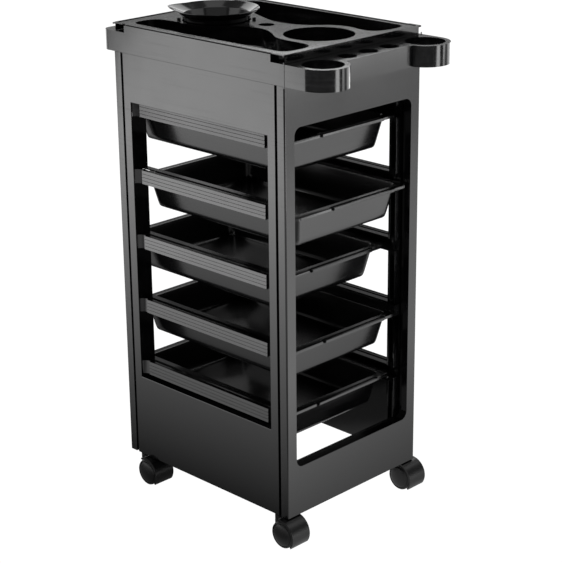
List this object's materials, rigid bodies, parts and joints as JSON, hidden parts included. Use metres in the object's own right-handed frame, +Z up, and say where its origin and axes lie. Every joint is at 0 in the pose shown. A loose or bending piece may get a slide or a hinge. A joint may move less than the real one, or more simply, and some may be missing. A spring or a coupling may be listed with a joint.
{
  "type": "rolling salon trolley",
  "caption": "Upright plastic hairdresser's trolley on swivel casters, with a ladder frame of slide-out trays and a top with compartments, dryer rings and a tint bowl.",
  "frame": {"origin": "centre of the bounding box on the floor, under the trolley", "axes": "+Z up; -Y towards the front, the end with the dryer rings; +X to the right of someone who faces +Y"},
  "size_m": [0.344, 0.5188, 0.861],
  "materials": {
    "gloss_black_plastic": "glossy injection-moulded black, lightly scuffed",
    "tray_black_plastic": "satin black, smooth, fine scratches inside",
    "bowl_black_plastic": "glossy black, thin-walled",
    "caster_black_nylon": "satin black nylon, worn on the tread",
    "zinc_steel": "bright zinc-plated steel"
  },
  "bodies": {
    "cabinet": {"front_panel": "gloss_black_plastic", "rear_panel": "gloss_black_plastic", "left_side_panel": "gloss_black_plastic", "right_side_panel": "gloss_black_plastic", "top_frame": "gloss_black_plastic", "screw_front_left_low": "zinc_steel", "screw_front_left_high": "zinc_steel", "screw_top_left_front": "zinc_steel", "screw_front_right_low": "zinc_steel", "screw_front_right_high": "zinc_steel", "screw_top_right_front": "zinc_steel", "screw_rear_left_low": "zinc_steel", "screw_rear_left_high": "zinc_steel", "screw_top_left_rear": "zinc_steel", "screw_rear_right_low": "zinc_steel", "screw_rear_right_high": "zinc_steel", "screw_top_right_rear": "zinc_steel", "caster_sleeve_front_left": "zinc_steel", "caster_stem_front_left": "zinc_steel", "caster_sleeve_front_right": "zinc_steel", "caster_stem_front_right": "zinc_steel", "caster_sleeve_rear_left": "zinc_steel", "caster_stem_rear_left": "zinc_steel", "caster_sleeve_rear_right": "zinc_steel", "caster_stem_rear_right": "zinc_steel"},
    "caster_front_left": {"caster_hood_front_left": "caster_black_nylon", "caster_axle_front_left": "zinc_steel"},
    "wheel_front_left_left": {"wheel_front_left_left": "caster_black_nylon"},
    "wheel_front_left_right": {"wheel_front_left_right": "caster_black_nylon"},
    "caster_front_right": {"caster_hood_front_right": "caster_black_nylon", "caster_axle_front_right": "zinc_steel"},
    "wheel_front_right_left": {"wheel_front_right_left": "caster_black_nylon"},
    "wheel_front_right_right": {"wheel_front_right_right": "caster_black_nylon"},
    "caster_rear_left": {"caster_hood_rear_left": "caster_black_nylon", "caster_axle_rear_left": "zinc_steel"},
    "wheel_rear_left_left": {"wheel_rear_left_left": "caster_black_nylon"},
    "wheel_rear_left_right": {"wheel_rear_left_right": "caster_black_nylon"},
    "caster_rear_right": {"caster_hood_rear_right": "caster_black_nylon", "caster_axle_rear_right": "zinc_steel"},
    "wheel_rear_right_left": {"wheel_rear_right_left": "caster_black_nylon"},
    "wheel_rear_right_right": {"wheel_rear_right_right": "caster_black_nylon"},
    "drawer_1": {"drawer_1": "tray_black_plastic"},
    "drawer_2": {"drawer_2": "tray_black_plastic"},
    "drawer_3": {"drawer_3": "tray_black_plastic"},
    "drawer_4": {"drawer_4": "tray_black_plastic"},
    "drawer_5": {"drawer_5": "tray_black_plastic"},
    "top_tray": {"top_tray": "gloss_black_plastic"},
    "tint_bowl": {"tint_bowl": "bowl_black_plastic"}
  },
  "joints": [
    {"name": "swivel_front_left", "type": "hinge", "parent": "cabinet", "child": "caster_front_left", "pos_m": [-0.15, -0.148, 0.0515], "axis": [0, 0, 1], "continuous": true},
    {"name": "spin_front_left_left", "type": "hinge", "parent": "caster_front_left", "child": "wheel_front_left_left", "pos_m": [-0.1635, -0.169, 0.024], "axis": [1, 0, 0], "continuous": true},
    {"name": "spin_front_left_right", "type": "hinge", "parent": "caster_front_left", "child": "wheel_front_left_right", "pos_m": [-0.1365, -0.169, 0.024], "axis": [1, 0, 0], "continuous": true},
    {"name": "swivel_front_right", "type": "hinge", "parent": "cabinet", "child": "caster_front_right", "pos_m": [0.15, -0.148, 0.0515], "axis": [0, 0, 1], "continuous": true},
    {"name": "spin_front_right_left", "type": "hinge", "parent": "caster_front_right", "child": "wheel_front_right_left", "pos_m": [0.1365, -0.169, 0.024], "axis": [1, 0, 0], "continuous": true},
    {"name": "spin_front_right_right", "type": "hinge", "parent": "caster_front_right", "child": "wheel_front_right_right", "pos_m": [0.1635, -0.169, 0.024], "axis": [1, 0, 0], "continuous": true},
    {"name": "swivel_rear_left", "type": "hinge", "parent": "cabinet", "child": "caster_rear_left", "pos_m": [-0.15, 0.196, 0.0515], "axis": [0, 0, 1], "continuous": true},
    {"name": "spin_rear_left_left", "type": "hinge", "parent": "caster_rear_left", "child": "wheel_rear_left_left", "pos_m": [-0.1635, 0.175, 0.024], "axis": [1, 0, 0], "continuous": true},
    {"name": "spin_rear_left_right", "type": "hinge", "parent": "caster_rear_left", "child": "wheel_rear_left_right", "pos_m": [-0.1365, 0.175, 0.024], "axis": [1, 0, 0], "continuous": true},
    {"name": "swivel_rear_right", "type": "hinge", "parent": "cabinet", "child": "caster_rear_right", "pos_m": [0.15, 0.196, 0.0515], "axis": [0, 0, 1], "continuous": true},
    {"name": "spin_rear_right_left", "type": "hinge", "parent": "caster_rear_right", "child": "wheel_rear_right_left", "pos_m": [0.1365, 0.175, 0.024], "axis": [1, 0, 0], "continuous": true},
    {"name": "spin_rear_right_right", "type": "hinge", "parent": "caster_rear_right", "child": "wheel_rear_right_right", "pos_m": [0.1635, 0.175, 0.024], "axis": [1, 0, 0], "continuous": true},
    {"name": "slide_1", "type": "slide", "parent": "cabinet", "child": "drawer_1", "axis": [0, -1, 0], "range_m": [-0.262, 0.298]},
    {"name": "slide_2", "type": "slide", "parent": "cabinet", "child": "drawer_2", "axis": [0, -1, 0], "range_m": [-0.287, 0.273]},
    {"name": "slide_3", "type": "slide", "parent": "cabinet", "child": "drawer_3", "axis": [0, -1, 0], "range_m": [-0.238, 0.322]},
    {"name": "slide_4", "type": "slide", "parent": "cabinet", "child": "drawer_4", "axis": [0, -1, 0], "range_m": [-0.268, 0.292]},
    {"name": "slide_5", "type": "slide", "parent": "cabinet", "child": "drawer_5", "axis": [0, -1, 0], "range_m": [-0.253, 0.307]},
    {"name": "top_tray_lift", "type": "slide", "parent": "cabinet", "child": "top_tray", "axis": [0, 0, 1], "range_m": [0, 0.15]},
    {"name": "bowl_lift", "type": "slide", "parent": "top_tray", "child": "tint_bowl", "axis": [0, 0, 1], "range_m": [0, 0.12]}
  ]
}
